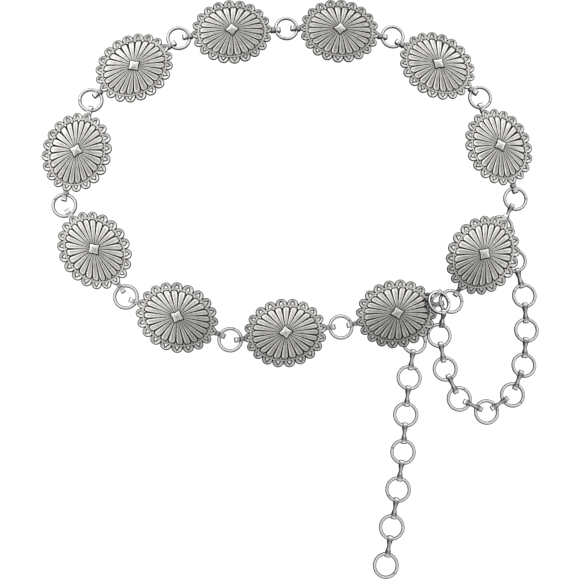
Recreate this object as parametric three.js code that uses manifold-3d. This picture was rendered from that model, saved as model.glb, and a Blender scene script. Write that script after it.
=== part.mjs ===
// A chain belt of eleven domed oval conchos on round rings, with a long extension chain.
// Millimetres, +Z up. The belt lies flat in a loop on a surface at z = 0, as it is laid out
// for display, and its hook end and the spare chain lie one over the other beside concho_01.
// The origin is the middle of the footprint, at the height of the surface.
import * as THREE from 'three';
import { mergeVertices } from 'three/addons/utils/BufferGeometryUtils.js';
import Module from 'manifold-3d';

const wasm = await Module();
wasm.setup();

// Concho: a cast oval button, domed, hollow behind, with a scalloped flange
const CONCHO_LENGTH = 50;
const CONCHO_WIDTH = 41.4;
const SCALLOPS = 20;
const SCALLOP_DEPTH = 1.5;
const SCALLOP_SHOULDER = 0.24;
const PETALS = 24;
const FLANGE_UNDERSIDE = 4.6;
const FLANGE_THICKNESS = 0.9;
const RIM_LENGTH = 42.6;
const RIM_WIDTH = 33.6;
const RIM_RISE = 0.7;
const DOME_RISE = 3.5;
const PETAL_RELIEF = 0.55;
const SHELL_THICKNESS = 1.1;
const CROWN = { length: 16, width: 13.4, fall: 0.75, relief: 0.6 * PETAL_RELIEF };
const PETAL_ENDS = { length: RIM_LENGTH - 3.2, width: RIM_WIDTH - 3, rise: 0.4 };
const HOLLOW_EDGE = { length: RIM_LENGTH - 1.8, width: RIM_WIDTH - 1.6, sides: 12 };
const HOLLOW_CROWN = { length: 18, width: 15, sides: 8 };
const STAR_LENGTH = 10.4;
const STAR_WIDTH = 9.6;
const STAR_WAIST = 0.62;
const STAR_RISE = 0.8;

// Rings and the flat straps that join them
const RING_RADIUS = 6.7;
const WIRE_RADIUS = 1;
const RING_SIDES = 12;
const WIRE_SIDES = 5;
const STRAP_WIDTH = 3;
const STRAP_THICKNESS = 0.65;
const BAIL_GAP = 0.3;
const BAIL_REACH = 28.9;
const BAIL_BACK = 24.2;
const BAIL_TONGUE_START = 21.5;
const BAIL_THROAT = { from: BAIL_BACK + 0.5, to: BAIL_BACK + 1.1 };
const SOLDER = 0.1;
const LINK_SPAN = 10.2;
const LINK_HALF_GAP = 0.55;

// The concho at the hook end is a little larger, and lies on its own heading from the first ring
const HOOK_CONCHO = { heading: 55, reach: 34.8, scale: 1.045 };
const FIRST_RING = { x: 98.3, y: -6.3 };

const BELT_Z = STRAP_THICKNESS + BAIL_GAP + WIRE_RADIUS;
const CHAIN_Z = 1.65;

// Each concho's heading along the strip, its turn from that heading, in degrees, and how far
// its middle lies from the ring before it and the ring after it
const STRIP = [
  { name: 'concho_02', heading: 193.5, turn: 0, before: 35.2, after: 34.4 },
  { name: 'concho_03', heading: 187, turn: 1, before: 34, after: 33.1 },
  { name: 'concho_04', heading: 158, turn: 1, before: 34.2, after: 33.1 },
  { name: 'concho_05', heading: 124.5, turn: 1, before: 33.5, after: 33.6 },
  { name: 'concho_06', heading: 78, turn: -2, before: 33.1, after: 34.4 },
  { name: 'concho_07', heading: 38, turn: -2, before: 33.2, after: 33.9 },
  { name: 'concho_08', heading: 7, turn: -1, before: 33.1, after: 34.5 },
  { name: 'concho_09', heading: 357, turn: -1, before: 33.2, after: 34 },
  { name: 'concho_10', heading: 325, turn: 2, before: 33.7, after: 33.5 },
  { name: 'concho_11', heading: 287.5, turn: 3, before: 34.1, after: 34.1 },
];

// Rings of the extension chain after the one that hangs on concho_11
const SWAG_RINGS = [
  { name: 'hooked ring', x: 130.9, y: 40.4, z: BELT_Z },
  { name: 'swag ring 1', x: 138.7, y: 19.4, z: CHAIN_Z },
  { name: 'swag ring 2', x: 144.1, y: -2.3, z: CHAIN_Z },
  { name: 'swag ring 3', x: 144.7, y: -23.6, z: CHAIN_Z },
  { name: 'swag ring 4', x: 142.4, y: -45.0, z: CHAIN_Z },
  { name: 'swag ring 5', x: 134.8, y: -63.0, z: CHAIN_Z },
  { name: 'swag ring 6', x: 118.6, y: -73.3, z: CHAIN_Z },
  { name: 'swag ring 7', x: 102.1, y: -65.5, z: CHAIN_Z },
  { name: 'swag ring 8', x: 93.9, y: -47.5, z: CHAIN_Z },
  { name: 'swag ring 9', x: 90.6, y: -27.2, z: CHAIN_Z },
  { name: 'draped ring', x: 89.8, y: -7.6, z: 6.6, tilt: 17, pitch: -13 },
];

const TUCKED_RING = { name: 'tucked ring', x: 78.1, y: -8.5, z: 1.9, pitch: -3 };

const TAIL_RINGS = [
  { name: 'tail ring 1', x: 75.3, y: -31.3, z: BELT_Z },
  { name: 'tail ring 2', x: 71.8, y: -52.9, z: CHAIN_Z },
  { name: 'tail ring 3', x: 69.4, y: -75.0, z: CHAIN_Z },
  { name: 'tail ring 4', x: 67.4, y: -97.1, z: CHAIN_Z },
  { name: 'tail ring 5', x: 64.1, y: -119.1, z: CHAIN_Z },
  { name: 'tail ring 6', x: 60.0, y: -141.0, z: CHAIN_Z },
  { name: 'tail ring 7', x: 56.2, y: -162.9, z: CHAIN_Z },
];

// Links that lie askew. The one at the hooked ring ends at a place in the hook concho's frame, and
// the others have the headings round their rings at which they grip the wires
const HOOKED_LINK = { reach: 28.2, aside: -2 };
const DRAPED_LINK = { gripBelow: 75, gripDraped: 290, shareAtDraped: 0.7 };
const DIPPING_LINK = { gripDraped: 81, gripTucked: 10, width: 2.4 };
const HANGING_LINK = { gripTucked: 262, gripTail: 82, pastTucked: 1.3, pastTail: 0.2 };

const TAU = 2 * Math.PI;
const radians = THREE.MathUtils.degToRad;
const silver = () => new THREE.MeshStandardMaterial({ color: 0xa9a7a2, metalness: 1, roughness: 0.32 });

// Solids and three.js geometries, one from the other
function solidOf(geometry) {
  const bare = geometry.clone();
  bare.deleteAttribute('normal');
  bare.deleteAttribute('uv');
  const merged = mergeVertices(bare, 1e-4);
  const vertProperties = new Float32Array(merged.attributes.position.array);
  const triVerts = new Uint32Array(merged.index.array);
  return new wasm.Manifold(new wasm.Mesh({ numProp: 3, vertProperties, triVerts }));
}

function geometryOf(solid) {
  const mesh = solid.getMesh();
  const geometry = new THREE.BufferGeometry();
  geometry.setAttribute('position', new THREE.BufferAttribute(new Float32Array(mesh.vertProperties), 3));
  geometry.setIndex(new THREE.BufferAttribute(new Uint32Array(mesh.triVerts), 1));
  geometry.computeVertexNormals();
  return geometry;
}

const joined = (solids) => solids.reduce((whole, piece) => whole.add(piece));

// A loop of points on an oval, each with its place round the oval as a share of one turn
function ovalLoop(length, width, turns, heightAt) {
  return turns.map((turn, i) => ({
    turn,
    point: new THREE.Vector3(
      0.5 * length * Math.cos(TAU * turn),
      0.5 * width * Math.sin(TAU * turn),
      heightAt(i),
    ),
  }));
}

const evenTurns = (count) => Array.from({ length: count }, (_, i) => i / count);

// The flange's outline: every scallop has a valley and two shoulders, with one on each long end
function scallopLoop(z) {
  const loop = [];
  for (let i = 0; i < SCALLOPS; i += 1) {
    for (const offset of [-0.5, -SCALLOP_SHOULDER, SCALLOP_SHOULDER]) {
      const depth = offset === -0.5 ? SCALLOP_DEPTH : 0;
      const turn = (i + offset) / SCALLOPS;
      const [row] = ovalLoop(CONCHO_LENGTH - 2 * depth, CONCHO_WIDTH - 2 * depth, [turn], () => z);
      loop.push(row);
    }
  }
  return loop;
}

// The star's outline: four points with concave sides between them
function starLoop(z) {
  return evenTurns(8).map((turn, i) => {
    const inner = i % 2 ? STAR_WAIST : 1;
    return ovalLoop(STAR_LENGTH * inner, STAR_WIDTH * inner, [turn], () => z)[0];
  });
}

// Triangles between two loops, whatever their counts, stepping along whichever is behind
function bridge(a, b, triangles) {
  const at = (loop, i) => loop[i % loop.length].point;
  const turnAt = (loop, i) => loop[i % loop.length].turn + Math.floor(i / loop.length);
  let i = 0;
  let j = 0;
  while (i < a.length || j < b.length) {
    const stepA = j >= b.length || (i < a.length && turnAt(a, i + 1) <= turnAt(b, j + 1));
    triangles.push(at(a, i), at(b, j), stepA ? at(a, i + 1) : at(b, j + 1));
    if (stepA) i += 1;
    else j += 1;
  }
}

// A closed body through loops that run out from a top point, over the edge and back in below
function closedThroughLoops(top, loops, bottom) {
  const triangles = [];
  const fan = (centre, loop, facesUp) => loop.forEach((row, i) => {
    const next = loop[(i + 1) % loop.length];
    triangles.push(centre, facesUp ? row.point : next.point, facesUp ? next.point : row.point);
  });
  fan(top, loops[0], true);
  for (let k = 0; k + 1 < loops.length; k += 1) bridge(loops[k], loops[k + 1], triangles);
  fan(bottom, loops[loops.length - 1], false);
  const geometry = new THREE.BufferGeometry().setFromPoints(triangles);
  return solidOf(geometry);
}

// A flat outline in the x-z plane, made as wide as the strap and centred on y = 0
function strapFrom(shape, width = STRAP_WIDTH) {
  const geometry = new THREE.ExtrudeGeometry(shape, { depth: width, bevelEnabled: false, curveSegments: 2 });
  geometry.rotateX(Math.PI / 2);
  geometry.translate(0, width / 2, 0);
  return solidOf(geometry);
}

// The domed shell with its star, petals, raised rim, scalloped flange and hollow back
function conchoShell(scale) {
  const flangeTop = FLANGE_UNDERSIDE + FLANGE_THICKNESS;
  const rimTop = flangeTop + RIM_RISE;
  const domeTop = flangeTop + DOME_RISE;
  const crownTop = domeTop - CROWN.fall;
  const petalFoot = flangeTop + PETAL_ENDS.rise;
  const petalTurns = evenTurns(2 * PETALS);
  const petalHeight = (z, relief) => (i) => z + (i % 2 ? 0 : relief);
  const hollowLoop = ({ length, width, sides }, z) => ovalLoop(length, width, evenTurns(sides), () => z);
  const loops = [
    starLoop(domeTop),
    ovalLoop(CROWN.length, CROWN.width, petalTurns, petalHeight(crownTop, CROWN.relief)),
    ovalLoop(PETAL_ENDS.length, PETAL_ENDS.width, petalTurns, petalHeight(petalFoot, PETAL_RELIEF)),
    ovalLoop(RIM_LENGTH, RIM_WIDTH, evenTurns(PETALS), () => rimTop),
    scallopLoop(flangeTop),
    scallopLoop(FLANGE_UNDERSIDE),
    hollowLoop(HOLLOW_EDGE, FLANGE_UNDERSIDE),
    hollowLoop(HOLLOW_CROWN, crownTop - SHELL_THICKNESS),
  ];
  const top = new THREE.Vector3(0, 0, domeTop + STAR_RISE);
  const bottom = new THREE.Vector3(0, 0, domeTop - CROWN.fall / 2 - SHELL_THICKNESS);
  return closedThroughLoops(top, loops, bottom).scale([scale, scale, 1]);
}

// A strap loop under a scallop: its tongue is soldered to the flange, its eye takes a ring
function bail() {
  const outer = WIRE_RADIUS + BAIL_GAP + STRAP_THICKNESS;
  const inner = WIRE_RADIUS + BAIL_GAP;
  const tongueTop = FLANGE_UNDERSIDE + SOLDER;
  const shape = new THREE.Shape();
  shape.moveTo(BAIL_TONGUE_START, FLANGE_UNDERSIDE - STRAP_THICKNESS);
  shape.lineTo(BAIL_BACK, FLANGE_UNDERSIDE - STRAP_THICKNESS);
  shape.lineTo(BAIL_BACK, 0);
  shape.lineTo(BAIL_REACH, 0);
  shape.absarc(BAIL_REACH, outer, outer, -Math.PI / 2, Math.PI / 2, false);
  shape.lineTo(BAIL_THROAT.to, 2 * outer);
  shape.lineTo(BAIL_THROAT.from, tongueTop);
  shape.lineTo(BAIL_TONGUE_START, tongueTop);
  shape.closePath();
  const eye = new THREE.Path();
  eye.moveTo(BAIL_BACK + STRAP_THICKNESS, outer - inner);
  eye.lineTo(BAIL_BACK + STRAP_THICKNESS, outer + inner);
  eye.lineTo(BAIL_REACH, outer + inner);
  eye.absarc(BAIL_REACH, outer, inner, Math.PI / 2, -Math.PI / 2, true);
  eye.closePath();
  shape.holes.push(eye);
  return strapFrom(shape);
}

// The hook end has a staple under the flange instead of a bail: a bar on two short legs
const STAPLE = { x: 21, y: 2, bar: 1.6, legGap: 3.2, leg: 1 };
const HOOK_WIDTH = 2.4;
const HOOK_MOUTH = { from: 23.6, to: 26.4 };
const HOOK_START = STAPLE.x - 0.3;

function box(sizeX, sizeY, sizeZ, x, y, z) {
  return solidOf(new THREE.BoxGeometry(sizeX, sizeY, sizeZ).translate(x, y, z));
}

function staple() {
  const span = STAPLE.legGap + 2 * STAPLE.leg;
  const barBottom = BELT_Z - STAPLE.bar / 2;
  const legHeight = FLANGE_UNDERSIDE + SOLDER - barBottom;
  const legs = [-1, 1].map((side) => box(
    STAPLE.bar,
    STAPLE.leg,
    legHeight,
    STAPLE.x,
    STAPLE.y + side * (span - STAPLE.leg) / 2,
    barBottom + legHeight / 2,
  ));
  return joined([box(STAPLE.bar, span, STAPLE.bar, STAPLE.x, STAPLE.y, BELT_Z), ...legs]);
}

function concho(endPiece, scale = 1) {
  return joined([conchoShell(scale), bail().rotate([0, 0, 180]), endPiece]);
}

// A plain strap hook between the staple and the hooked ring, open at a mouth underneath
function claspHook() {
  const outer = WIRE_RADIUS + BAIL_GAP + STRAP_THICKNESS;
  const inner = WIRE_RADIUS + BAIL_GAP;
  const shape = new THREE.Shape();
  shape.moveTo(HOOK_MOUTH.to, 0);
  shape.lineTo(BAIL_REACH, 0);
  shape.absarc(BAIL_REACH, outer, outer, -Math.PI / 2, Math.PI / 2, false);
  shape.lineTo(HOOK_START, 2 * outer);
  shape.absarc(HOOK_START, outer, outer, Math.PI / 2, 1.5 * Math.PI, false);
  shape.lineTo(HOOK_MOUTH.from, 0);
  shape.lineTo(HOOK_MOUTH.from, outer - inner);
  shape.lineTo(HOOK_START, outer - inner);
  shape.absarc(HOOK_START, outer, inner, 1.5 * Math.PI, Math.PI / 2, true);
  shape.lineTo(BAIL_REACH, outer + inner);
  shape.absarc(BAIL_REACH, outer, inner, Math.PI / 2, -Math.PI / 2, true);
  shape.lineTo(HOOK_MOUTH.to, outer - inner);
  shape.closePath();
  return strapFrom(shape, HOOK_WIDTH).translate([0, STAPLE.y, 0]);
}

// A round wire ring, turned from level about x by its pitch and about y by its tilt
function ring({ x, y, z, tilt = 0, pitch = 0 }) {
  const torus = new THREE.TorusGeometry(RING_RADIUS, WIRE_RADIUS, WIRE_SIDES, RING_SIDES);
  return solidOf(torus).rotate([pitch, tilt, 0]).translate([x, y, z]);
}

// The middle of a ring's wire, at a heading round the ring
function wirePoint({ x, y, z, tilt = 0, pitch = 0 }, heading) {
  const spoke = new THREE.Vector3(Math.cos(radians(heading)), Math.sin(radians(heading)), 0);
  spoke.applyEuler(new THREE.Euler(radians(pitch), radians(tilt), 0, 'ZYX'));
  return spoke.multiplyScalar(RING_RADIUS).add(new THREE.Vector3(x, y, z));
}

// A long strap loop round the wires at two points, each end running past its wire by its reach.
// The slot stops inside the wires, which fill it there, unless it runs on past the wire at a.
function link(a, b, { reachA, reachB, halfGap, slotPastA = 0, width = STRAP_WIDTH }) {
  const run = b.clone().sub(a);
  const length = run.length();
  const outer = halfGap + STRAP_THICKNESS;
  const shape = new THREE.Shape();
  shape.moveTo(-reachA, -outer);
  shape.lineTo(length + reachB, -outer);
  shape.absarc(length + reachB, 0, outer, -Math.PI / 2, Math.PI / 2, false);
  shape.lineTo(-reachA, outer);
  shape.absarc(-reachA, 0, outer, Math.PI / 2, 1.5 * Math.PI, false);
  const slot = new THREE.Path();
  slot.moveTo(-slotPastA, -halfGap);
  if (slotPastA > 0) slot.lineTo(-slotPastA - halfGap / 2, 0);
  slot.lineTo(-slotPastA, halfGap);
  slot.lineTo(length, halfGap);
  slot.lineTo(length, -halfGap);
  slot.closePath();
  shape.holes.push(slot);
  const pitch = -THREE.MathUtils.radToDeg(Math.asin(run.z / length));
  const heading = THREE.MathUtils.radToDeg(Math.atan2(run.y, run.x));
  return strapFrom(shape, width).rotate([0, pitch, 0]).rotate([0, 0, heading]).translate([a.x, a.y, a.z]);
}

// A link between two wires, of the usual length; the share of its slack at b is 0 to 1
function chainLink(a, b, shareAtB = 0.5) {
  const slack = LINK_SPAN - a.distanceTo(b);
  return link(a, b, {
    reachA: slack * (1 - shareAtB),
    reachB: slack * shareAtB,
    halfGap: LINK_HALF_GAP,
  });
}

function linkBetween(ringA, ringB) {
  const heading = THREE.MathUtils.radToDeg(Math.atan2(ringB.y - ringA.y, ringB.x - ringA.x));
  return chainLink(wirePoint(ringA, heading), wirePoint(ringB, heading + 180));
}

// The place at a distance from another along a heading, and that far aside to its left
function from(place, heading, distance, aside = 0) {
  const [c, s] = [Math.cos(radians(heading)), Math.sin(radians(heading))];
  return { x: place.x + distance * c - aside * s, y: place.y + distance * s + aside * c };
}

// Where the belt lies: conchos and rings follow one another along the strip
function layStrip() {
  const places = [];
  const rings = [{ ...FIRST_RING, z: BELT_Z }];
  for (const { name, heading, turn, before, after } of STRIP) {
    const last = rings[rings.length - 1];
    places.push({ name, ...from(last, heading, before), heading: heading + turn });
    rings.push({ ...from(last, heading, before + after), z: BELT_Z });
  }
  return { places, rings };
}

const belt = new THREE.Group();

function addPiece(name, solid, place = { x: 0, y: 0, heading: 0 }) {
  const mesh = new THREE.Mesh(geometryOf(solid), silver());
  mesh.name = name;
  mesh.position.set(place.x, place.y, 0);
  mesh.rotation.z = radians(place.heading);
  belt.add(mesh);
}

const strip = layStrip();
const hookConcho = {
  ...from(FIRST_RING, HOOK_CONCHO.heading, HOOK_CONCHO.reach),
  heading: HOOK_CONCHO.heading,
};

addPiece('concho_01', concho(staple(), HOOK_CONCHO.scale), hookConcho);
addPiece('clasp_hook', claspHook(), hookConcho);
const plainConcho = concho(bail());
for (const place of strip.places) addPiece(place.name, plainConcho, place);

// The last ring of the strip begins the extension chain, so it belongs to the chain
const beltRings = strip.rings.slice(0, -1);
beltRings.forEach((place, i) => addPiece(`belt_ring_${String(i + 1).padStart(2, '0')}`, ring(place)));

// The chain runs from the last concho, behind the hook end, and ends draped over the first ring
const firstSwagRing = strip.rings[strip.rings.length - 1];
const hookedWire = from(hookConcho, HOOK_CONCHO.heading, HOOKED_LINK.reach, HOOKED_LINK.aside);
const hookedPoint = new THREE.Vector3(hookedWire.x, hookedWire.y, BELT_Z);
const firstHeading = THREE.MathUtils.radToDeg(
  Math.atan2(hookedPoint.y - firstSwagRing.y, hookedPoint.x - firstSwagRing.x),
);
const drapedRing = SWAG_RINGS[SWAG_RINGS.length - 1];
const ringBelowDraped = SWAG_RINGS[SWAG_RINGS.length - 2];
const levelRings = SWAG_RINGS.slice(0, -1);
const drapedLink = chainLink(
  wirePoint(ringBelowDraped, DRAPED_LINK.gripBelow),
  wirePoint(drapedRing, DRAPED_LINK.gripDraped),
  DRAPED_LINK.shareAtDraped,
);
const dippingLink = link(
  wirePoint(drapedRing, DIPPING_LINK.gripDraped),
  wirePoint(TUCKED_RING, DIPPING_LINK.gripTucked),
  { reachA: 0, reachB: 0, halfGap: LINK_HALF_GAP, width: DIPPING_LINK.width },
);
const swagLinks = levelRings.slice(1).map((next, i) => linkBetween(levelRings[i], next));
addPiece('swag_chain', joined([
  ring(firstSwagRing),
  chainLink(wirePoint(firstSwagRing, firstHeading), hookedPoint),
  ...SWAG_RINGS.map(ring),
  ...swagLinks,
  drapedLink,
  ring(TUCKED_RING),
  dippingLink,
]));

// The tail hangs from the tucked ring by a loose link
const hangingLink = link(
  wirePoint(TUCKED_RING, HANGING_LINK.gripTucked),
  wirePoint(TAIL_RINGS[0], HANGING_LINK.gripTail),
  {
    reachA: HANGING_LINK.pastTucked,
    reachB: HANGING_LINK.pastTail,
    halfGap: WIRE_RADIUS + BAIL_GAP,
    slotPastA: HANGING_LINK.pastTucked,
  },
);
const tailLinks = TAIL_RINGS.slice(1).map((next, i) => linkBetween(TAIL_RINGS[i], next));
addPiece('tail_chain', joined([hangingLink, ...TAIL_RINGS.map(ring), ...tailLinks]));

// The middle of the footprint becomes the origin
const bounds = new THREE.Box3().setFromObject(belt, true);
const middle = bounds.getCenter(new THREE.Vector3());
belt.position.set(-middle.x, -middle.y, -bounds.min.z);
belt.updateMatrixWorld(true);

export default belt;
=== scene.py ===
# %% [markdown]
# # A chain belt of domed conchos
# The belt lies flat in a loop on a white table. Eleven cast oval buttons, called conchos, are
# joined by round wire rings. A long chain of rings and flat strap links hangs from the last one.
# It could be modelled piece by piece where it lies. Here each kind of piece is made once, at the
# origin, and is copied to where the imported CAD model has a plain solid, because then all pieces
# of a kind agree, and every place comes from one source. Sizes in the cells are in millimetres.

# %% Load the frame
import bpy
import math
from mathutils import Euler, Matrix, Vector


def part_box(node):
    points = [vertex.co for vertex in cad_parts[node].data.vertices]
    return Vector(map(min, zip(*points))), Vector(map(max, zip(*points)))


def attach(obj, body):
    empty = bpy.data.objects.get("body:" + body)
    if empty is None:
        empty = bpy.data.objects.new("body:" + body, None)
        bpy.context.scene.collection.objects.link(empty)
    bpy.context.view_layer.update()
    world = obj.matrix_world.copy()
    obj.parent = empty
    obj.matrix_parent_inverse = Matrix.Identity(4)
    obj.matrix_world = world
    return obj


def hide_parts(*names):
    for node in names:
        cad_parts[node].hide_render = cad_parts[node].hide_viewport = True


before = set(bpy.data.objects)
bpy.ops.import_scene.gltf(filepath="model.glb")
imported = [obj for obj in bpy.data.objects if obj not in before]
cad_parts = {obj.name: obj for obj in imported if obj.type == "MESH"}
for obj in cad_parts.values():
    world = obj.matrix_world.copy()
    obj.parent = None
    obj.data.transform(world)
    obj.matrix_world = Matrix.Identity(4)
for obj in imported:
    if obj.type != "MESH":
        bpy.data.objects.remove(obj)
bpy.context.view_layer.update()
MM = 0.001
print("CAD nodes:", len(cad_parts))

# %% [markdown]
# ## Selecting, by code in place of a mouse
# An operator acts on everything that is selected, so each step first deselects all. A test on
# where a vertex lies then does what the mouse would do. A mesh could also be made from lists of
# numbers, but steps with operators are the ones that a modeller can repeat by hand.

# %% Selecting
def only(obj):
    bpy.ops.object.select_all(action="DESELECT")
    obj.select_set(True)
    bpy.context.view_layer.objects.active = obj


def choose(obj, test, kind="VERT"):
    """Goes to edit mode with only the vertices that pass the test selected, or their faces."""
    only(obj)
    bpy.ops.object.mode_set(mode="EDIT")
    bpy.ops.mesh.select_mode(type="VERT")
    bpy.ops.mesh.select_all(action="DESELECT")
    bpy.ops.object.mode_set(mode="OBJECT")
    for vertex in obj.data.vertices:
        vertex.select = test(vertex.co)
    bpy.ops.object.mode_set(mode="EDIT")
    bpy.ops.mesh.select_mode(type=kind)


def choose_edges(obj, test):
    """Goes to edit mode with only the edges whose two ends pass the test selected."""
    only(obj)
    bpy.ops.object.mode_set(mode="EDIT")
    bpy.ops.mesh.select_mode(type="EDGE")
    bpy.ops.mesh.select_all(action="DESELECT")
    bpy.ops.object.mode_set(mode="OBJECT")
    for edge in obj.data.edges:
        a, b = (obj.data.vertices[i].co for i in edge.vertices)
        edge.select = test(a, b)
    bpy.ops.object.mode_set(mode="EDIT")


def everywhere(co):
    return True


def done():
    bpy.ops.object.mode_set(mode="OBJECT")


# %% [markdown]
# ## Making and changing
# Pieces are modelled in millimetres round the origin, which keeps bevels and merges easy to
# size, and are brought to metres when they are placed. A modifier could stay live, but here it
# is applied at once, so that the next step finds real vertices. A turn or a move goes into the
# mesh and not the object, because a finished piece has to lie at the origin, unturned.

# %% Making and changing
def new_piece(add, **values):
    """Adds a primitive with nothing else selected, and puts its turn into its mesh."""
    bpy.ops.object.select_all(action="DESELECT")
    add(**values)
    piece = bpy.context.object
    bpy.ops.object.transform_apply(location=True, rotation=True, scale=True)
    return piece


def modify(obj, kind, **values):
    only(obj)
    modifier = obj.modifiers.new(kind.title(), kind)
    for name, value in values.items():
        setattr(modifier, name, value)
    bpy.ops.object.modifier_apply(modifier=modifier.name)


def face_up(obj):
    """Turns all faces of a flat piece upward, so that Solidify thickens it downward."""
    choose(obj, everywhere, "FACE")
    bpy.ops.mesh.normals_make_consistent(inside=False)
    done()
    if obj.data.polygons[0].normal.z < 0:
        choose(obj, everywhere, "FACE")
        bpy.ops.mesh.flip_normals()
        done()


def smooth(obj, degrees):
    only(obj)
    bpy.ops.object.shade_smooth_by_angle(angle=math.radians(degrees))


# %% [markdown]
# ## Copying and joining
# A copy could be a linked duplicate that shares its mesh. Here each copy gets a mesh of its own,
# so that it can be joined into a larger piece, and Ctrl-J then makes one object of them all.

# %% Copying and joining
def turn(degrees, axis="Z"):
    return Matrix.Rotation(math.radians(degrees), 4, axis)


def copy_of(obj, place):
    new = bpy.data.objects.new(obj.name, obj.data.copy())
    bpy.context.scene.collection.objects.link(new)
    new.data.transform(place)
    return new


def join(pieces, name):
    bpy.ops.object.select_all(action="DESELECT")
    for piece in pieces:
        piece.select_set(True)
    bpy.context.view_layer.objects.active = pieces[0]
    bpy.ops.object.join()
    pieces[0].name = name
    return pieces[0]


def delete(patterns):
    for pattern in patterns:
        bpy.data.objects.remove(pattern)


def wear(obj, material):
    obj.data.materials.clear()
    obj.data.materials.append(material)


# %% [markdown]
# ## How dark each place is
# Antiqued silver is dipped until it is nearly black, and then its high places are polished.
# A number on each vertex says how dark it is, from 0 to 1, and the material reads it. It holds how
# much of the black is left, and on the wires, the straps and some conchos also painted shade. It
# could be a painted map, but the black follows the relief so closely that a rule on height or
# radius gives it in one line for each kind of piece.

# %% Painting the patina
def step(low, high, value):
    """Rises softly from 0 at low to 1 at high."""
    share = min(1.0, max(0.0, (value - low) / (high - low)))
    return share * share * (3 - 2 * share)


def paint(obj, rule):
    layer = obj.data.attributes.new("patina_and_shade", "FLOAT", "POINT")
    for vertex in obj.data.vertices:
        layer.data[vertex.index].value = rule(vertex.co)


# %% [markdown]
# ## Nodes, briefly
# A material is a tree of nodes. It could be wired by hand in the shader editor. These helpers
# add a node and set its sockets by name, so that each wire below is one readable line. Noise is
# read at the piece's own coordinates, so that the spots stay on the metal when a piece moves.

# %% Helpers for nodes
def add_node(tree, kind, **values):
    node = tree.nodes.new(kind)
    for key, value in values.items():
        if key in node.inputs:
            node.inputs[key].default_value = value
        else:
            setattr(node, key, value)
    return node


def math_node(tree, operation, *values, clamp=False):
    """Takes numbers or sockets, and gives the result's socket."""
    node = add_node(tree, "ShaderNodeMath", operation=operation, use_clamp=clamp)
    for socket, value in zip(node.inputs, values):
        if isinstance(value, float):
            socket.default_value = value
        else:
            tree.links.new(value, socket)
    return node.outputs[0]


def noise(tree, scale, detail):
    where = add_node(tree, "ShaderNodeTexCoord").outputs["Object"]
    node = add_node(tree, "ShaderNodeTexNoise", Scale=scale, Detail=detail)
    tree.links.new(where, node.inputs["Vector"])
    return node.outputs[0]


# %% [markdown]
# ## The silver's colour
# The polished metal is a pale warm grey with soft clouds of tarnish. Where the patina is, and where
# shade is painted, it is almost black. A photograph of metal could be laid on it, but it would
# bring its own light along.
# The edge between bright and black wanders on the real castings, so a fine noise is added to the
# patina before the two colours are mixed.

# %% Colour
MOTTLE = 0.36
MOTTLE_SCALE, CLOUD_SCALE = 900.0, 260.0
CLOUD_RAMP = ((0.3, (0.6, 0.58, 0.56, 1)), (0.62, (1, 1, 1, 1)))
MIX_SHARE, MIX_A, MIX_B, MIX_RESULT = 0, 6, 7, 2  # a Mix node's sockets when it mixes colours


def patina_and_shade_level(tree, stain):
    """The patina and the painted shade, with an uneven edge, and with a little stain everywhere."""
    patina_and_shade = add_node(tree, "ShaderNodeAttribute", attribute_name="patina_and_shade").outputs["Fac"]
    spots = noise(tree, MOTTLE_SCALE, 4.0)
    mottle = math_node(tree, "MULTIPLY_ADD", spots, MOTTLE, stain - 0.5 * MOTTLE)
    return math_node(tree, "ADD", patina_and_shade, mottle, clamp=True)


def silver_colour(tree, level, polished, dark, clouding):
    tone = add_node(tree, "ShaderNodeMix", data_type="RGBA")
    tree.links.new(level, tone.inputs[MIX_SHARE])
    tone.inputs[MIX_A].default_value = (*polished, 1)
    tone.inputs[MIX_B].default_value = (*dark, 1)
    ramp = add_node(tree, "ShaderNodeValToRGB")
    for element, (position, colour) in zip(ramp.color_ramp.elements, CLOUD_RAMP):
        element.position, element.color = position, colour
    tree.links.new(noise(tree, CLOUD_SCALE, 3.0), ramp.inputs[0])
    cloud = add_node(tree, "ShaderNodeMix", data_type="RGBA", blend_type="MULTIPLY")
    cloud.inputs[MIX_SHARE].default_value = clouding
    tree.links.new(tone.outputs[MIX_RESULT], cloud.inputs[MIX_A])
    tree.links.new(ramp.outputs[0], cloud.inputs[MIX_B])
    return cloud.outputs[MIX_RESULT]


# %% [markdown]
# ## The silver's surface
# The black is duller than the polished metal, and wear leaves fine scratches on soft waves of
# the casting. They could be modelled, but at hundredths of a millimetre they need no more than
# two layers of bump: they catch the light and add no faces.

# %% Surface
DULLED_BY_PATINA_AND_SHADE = 0.4
DULLED_BY_WEAR = 0.1
WAVES = {"Strength": 0.5, "Distance": 0.12 * MM}
GRAIN = {"Strength": 0.25, "Distance": 0.03 * MM}


def silver_surface(tree, shader, level, roughness):
    """Sets how rough the metal is, with two layers of bump, one over the other."""
    dull = math_node(tree, "MULTIPLY_ADD", level, DULLED_BY_PATINA_AND_SHADE, roughness)
    wear_marks = math_node(tree, "MULTIPLY", noise(tree, 3000.0, 2.0), DULLED_BY_WEAR)
    tree.links.new(math_node(tree, "ADD", dull, wear_marks), shader.inputs["Roughness"])
    waves = add_node(tree, "ShaderNodeBump", **WAVES)
    tree.links.new(noise(tree, 420.0, 2.0), waves.inputs["Height"])
    grain = add_node(tree, "ShaderNodeBump", **GRAIN)
    tree.links.new(noise(tree, 3600.0, 3.0), grain.inputs["Height"])
    tree.links.new(waves.outputs[0], grain.inputs["Normal"])
    tree.links.new(grain.outputs[0], shader.inputs["Normal"])


# %% [markdown]
# ## Two silvers
# The cast conchos are a little darker and cloudier than the drawn wire and the straps, which are
# plated more evenly. One function makes both, so that they differ only where they should.

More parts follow.
